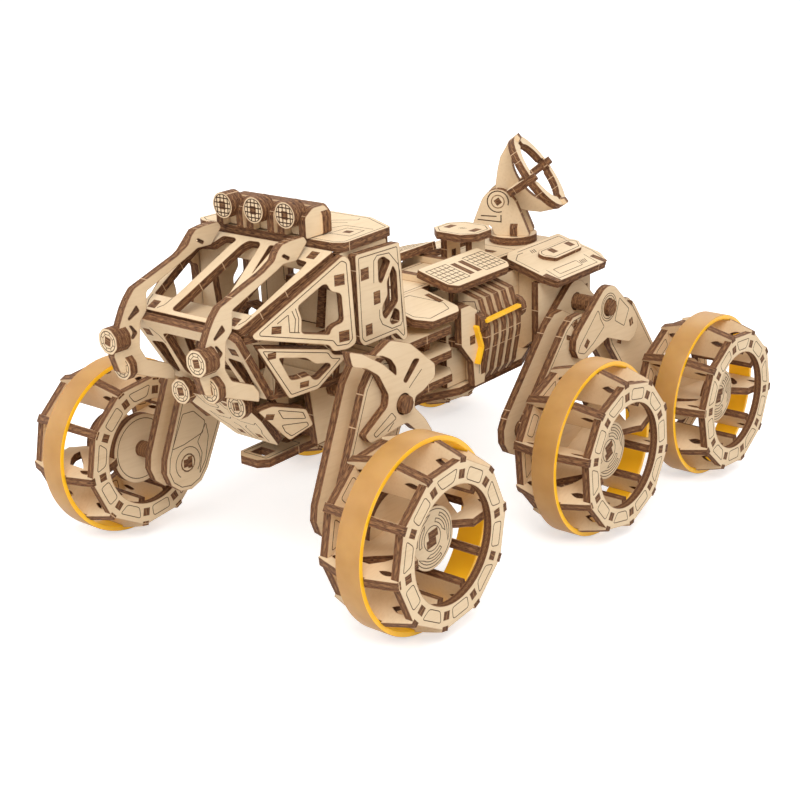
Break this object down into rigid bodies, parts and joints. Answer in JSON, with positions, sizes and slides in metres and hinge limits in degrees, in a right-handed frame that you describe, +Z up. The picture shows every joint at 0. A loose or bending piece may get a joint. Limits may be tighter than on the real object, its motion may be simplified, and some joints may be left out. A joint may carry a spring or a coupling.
{
  "type": "plywood model of a planetary rover",
  "caption": "Wooden construction model of a manned planetary rover on six banded wheels, with an open cab, roll bars, lamps, engine ribs and a tilting dish antenna.",
  "frame": {"origin": "centre of the overall box, on the floor that the wheels stand on", "axes": "+Z up, -Y the way the rover faces, +X its left side"},
  "size_m": [0.1704, 0.2664, 0.138],
  "materials": {
    "birch_plywood": "raw birch plywood, laser-cut, with burnt brown edges",
    "amber_rubber": "translucent amber rubber, slightly glossy"
  },
  "bodies": {
    "root": {"front_leg_left": "birch_plywood", "front_leg_right": "birch_plywood", "middle_leg_left": "birch_plywood", "middle_leg_right": "birch_plywood", "rear_leg_left": "birch_plywood", "rear_leg_right": "birch_plywood", "bogie_arm_left": "birch_plywood", "bogie_arm_right": "birch_plywood", "front_bracket_left": "birch_plywood", "front_bracket_right": "birch_plywood", "chassis_frame": "birch_plywood", "tow_tongue": "birch_plywood", "cab_frame": "birch_plywood", "cab_roof": "birch_plywood", "windscreen_frame": "birch_plywood", "nose_grille": "birch_plywood", "nose_panel": "birch_plywood", "roll_bar_left": "birch_plywood", "roll_bar_right": "birch_plywood", "roof_lamp_bar": "birch_plywood", "side_window_left": "birch_plywood", "side_window_right": "birch_plywood", "lower_side_panel_left": "birch_plywood", "lower_side_panel_right": "birch_plywood", "chin_panel_left": "birch_plywood", "chin_panel_right": "birch_plywood", "rear_side_panel_left": "birch_plywood", "rear_side_panel_right": "birch_plywood", "seat": "birch_plywood", "steering_wheel": "birch_plywood", "engine_ribs_left": "birch_plywood", "engine_ribs_right": "birch_plywood", "grid_panel_left": "birch_plywood", "grid_panel_right": "birch_plywood", "wing_panel_left": "birch_plywood", "wing_panel_right": "birch_plywood", "console_box": "birch_plywood", "rear_deck_left": "birch_plywood", "rear_deck_right": "birch_plywood", "rear_wall_left": "birch_plywood", "rear_wall_right": "birch_plywood", "tail_panel": "birch_plywood"},
    "wheel_front_left": {"wheel_front_left": "birch_plywood", "tyre_front_left": "amber_rubber"},
    "wheel_front_right": {"wheel_front_right": "birch_plywood", "tyre_front_right": "amber_rubber"},
    "wheel_middle_left": {"wheel_middle_left": "birch_plywood", "tyre_middle_left": "amber_rubber"},
    "wheel_middle_right": {"wheel_middle_right": "birch_plywood", "tyre_middle_right": "amber_rubber"},
    "wheel_rear_left": {"wheel_rear_left": "birch_plywood", "tyre_rear_left": "amber_rubber"},
    "wheel_rear_right": {"wheel_rear_right": "birch_plywood", "tyre_rear_right": "amber_rubber"},
    "antenna_turntable": {"antenna_turntable": "birch_plywood"},
    "antenna_dish": {"antenna_dish": "birch_plywood"}
  },
  "joints": [
    {"name": "spin_front_left", "type": "hinge", "parent": "root", "child": "wheel_front_left", "pos_m": [0.06945, -0.08817, 0.0328], "axis": [1, 0, 0], "continuous": true},
    {"name": "spin_front_right", "type": "hinge", "parent": "root", "child": "wheel_front_right", "pos_m": [-0.06945, -0.08817, 0.0328], "axis": [1, 0, 0], "continuous": true},
    {"name": "spin_middle_left", "type": "hinge", "parent": "root", "child": "wheel_middle_left", "pos_m": [0.06945, 0.01663, 0.0328], "axis": [1, 0, 0], "continuous": true},
    {"name": "spin_middle_right", "type": "hinge", "parent": "root", "child": "wheel_middle_right", "pos_m": [-0.06945, 0.01663, 0.0328], "axis": [1, 0, 0], "continuous": true},
    {"name": "spin_rear_left", "type": "hinge", "parent": "root", "child": "wheel_rear_left", "pos_m": [0.06945, 0.10043, 0.0328], "axis": [1, 0, 0], "continuous": true},
    {"name": "spin_rear_right", "type": "hinge", "parent": "root", "child": "wheel_rear_right", "pos_m": [-0.06945, 0.10043, 0.0328], "axis": [1, 0, 0], "continuous": true},
    {"name": "antenna_turn", "type": "hinge", "parent": "root", "child": "antenna_turntable", "pos_m": [0, 0.06273, 0.0963], "axis": [0, -0.0523, 0.9986], "continuous": true},
    {"name": "dish_tilt", "type": "hinge", "parent": "antenna_turntable", "child": "antenna_dish", "pos_m": [-0.00439, 0.06007, 0.10998], "axis": [0.4035, -0.9137, -0.0479], "range_deg": [-10, 40]}
  ]
}
